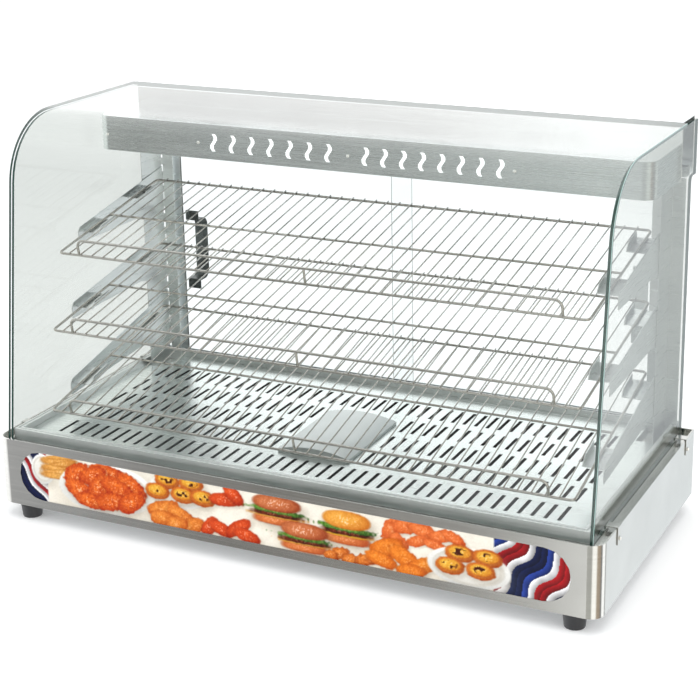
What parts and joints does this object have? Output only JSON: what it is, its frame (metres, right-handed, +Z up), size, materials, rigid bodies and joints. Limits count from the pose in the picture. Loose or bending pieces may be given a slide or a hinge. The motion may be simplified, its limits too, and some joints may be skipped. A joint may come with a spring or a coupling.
{
  "type": "hot food display case",
  "caption": "Countertop hot food display case: steel plinth with heaters, curved glass front, sloping wire shelves, lit sign band and sliding rear glass doors.",
  "frame": {"origin": "Centre of the overall box in plan (door handles and clip screws counted), at the height of the surface the feet stand on.", "axes": "+X to the right seen from the front, the longest extent; the front faces -Y and +Y points to the rear doors, the shortest extent; +Z up."},
  "size_m": [1.206, 0.5914, 0.762],
  "materials": {
    "brushed_steel": "satin brushed stainless sheet",
    "polished_steel": "bright polished stainless sheet with a fine brushed grain",
    "galvanised_steel": "dull zinc-coated sheet",
    "chromed_wire": "bright drawn and welded wire",
    "clear_glass": "clear tempered glass with green-tinted edges",
    "handle_coating": "dark satin coating on bent strap",
    "black_rubber": "matt moulded rubber",
    "heater_sheath": "dark oxidised steel sheath",
    "printed_acrylic": "printed translucent acrylic, lit from behind",
    "opal_acrylic": "milky acrylic, lit from behind",
    "lamp_glass": "frosted lamp tube",
    "black_plastic": "black moulded plastic",
    "red_plastic": "red translucent plastic",
    "green_plastic": "green translucent plastic",
    "white_ceramic": "unglazed white ceramic"
  },
  "bodies": {
    "case": {"arm_lowest_left": "brushed_steel", "arm_lowest_right": "brushed_steel", "arm_middle_left": "brushed_steel", "arm_middle_right": "brushed_steel", "arm_top_left": "brushed_steel", "arm_top_right": "brushed_steel", "base_shell": "polished_steel", "bottom_pan": "galvanised_steel", "canopy_lamp": "lamp_glass", "canopy_lamp_bracket": "galvanised_steel", "canopy_lid": "brushed_steel", "control_plate": "brushed_steel", "foot_front_left": "black_rubber", "foot_front_right": "black_rubber", "foot_rear_left": "black_rubber", "foot_rear_right": "black_rubber", "front_glass": "clear_glass", "glass_clip_front_left": "polished_steel", "glass_clip_front_right": "polished_steel", "glass_clip_rear_left": "polished_steel", "glass_clip_rear_right": "polished_steel", "glass_rail": "polished_steel", "heat_tray": "galvanised_steel", "heater_left": "heater_sheath", "heater_right": "heater_sheath", "light_switch_body": "black_plastic", "lower_track": "brushed_steel", "panel_lamp": "lamp_glass", "panel_lamp_bracket": "galvanised_steel", "pillar_left": "brushed_steel", "pillar_right": "brushed_steel", "power_indicator": "red_plastic", "power_inlet": "black_plastic", "power_switch_body": "black_plastic", "print_panel": "printed_acrylic", "side_glass_left": "clear_glass", "side_glass_right": "clear_glass", "sign_diffuser": "opal_acrylic", "sign_fascia": "polished_steel", "terminal_block": "white_ceramic", "thermostat_body": "white_ceramic", "top_beam": "brushed_steel", "top_gasket": "black_rubber", "upper_track": "brushed_steel"},
    "door_left": {"door_glass_left": "clear_glass", "door_stile_left": "brushed_steel", "door_handle_left": "handle_coating"},
    "door_right": {"door_glass_right": "clear_glass", "door_stile_right": "brushed_steel", "door_handle_right": "brushed_steel"},
    "shelf_lowest": {"shelf_lowest": "chromed_wire"},
    "shelf_middle": {"shelf_middle": "chromed_wire"},
    "shelf_top": {"shelf_top": "chromed_wire"},
    "floor": {"floor_plate": "brushed_steel"},
    "pan": {"water_pan": "brushed_steel"},
    "cover": {"pan_cover": "brushed_steel"},
    "knob": {"thermostat_knob": "black_plastic"},
    "power_rocker": {"power_switch_rocker": "red_plastic"},
    "light_rocker": {"light_switch_rocker": "green_plastic"}
  },
  "joints": [
    {"name": "door_left_slide", "type": "slide", "parent": "case", "child": "door_left", "axis": [1, 0, 0], "range_m": [0, 0.48]},
    {"name": "door_right_slide", "type": "slide", "parent": "case", "child": "door_right", "axis": [-1, 0, 0], "range_m": [0, 0.48]},
    {"name": "shelf_lowest_lift", "type": "slide", "parent": "case", "child": "shelf_lowest", "axis": [0, 0, 1], "range_m": [0, 0.06]},
    {"name": "shelf_middle_lift", "type": "slide", "parent": "case", "child": "shelf_middle", "axis": [0, 0, 1], "range_m": [0, 0.06]},
    {"name": "shelf_top_lift", "type": "slide", "parent": "case", "child": "shelf_top", "axis": [0, 0, 1], "range_m": [0, 0.06]},
    {"name": "floor_lift", "type": "slide", "parent": "case", "child": "floor", "axis": [0, 0, 1], "range_m": [0, 0.025]},
    {"name": "pan_lift", "type": "slide", "parent": "floor", "child": "pan", "axis": [0, 0, 1], "range_m": [0, 0.03]},
    {"name": "cover_lift", "type": "slide", "parent": "pan", "child": "cover", "axis": [0, 0, 1], "range_m": [0, 0.03]},
    {"name": "thermostat_turn", "type": "hinge", "parent": "case", "child": "knob", "pos_m": [0.34, 0.26635, 0.0965], "axis": [0, -1, 0], "range_deg": [0, 270]},
    {"name": "power_switch_tip", "type": "hinge", "parent": "case", "child": "power_rocker", "pos_m": [0.27, 0.26435, 0.0965], "axis": [1, 0, 0], "range_deg": [-16, 0]},
    {"name": "light_switch_tip", "type": "hinge", "parent": "case", "child": "light_rocker", "pos_m": [0.2, 0.26435, 0.0965], "axis": [1, 0, 0], "range_deg": [-16, 0]}
  ]
}
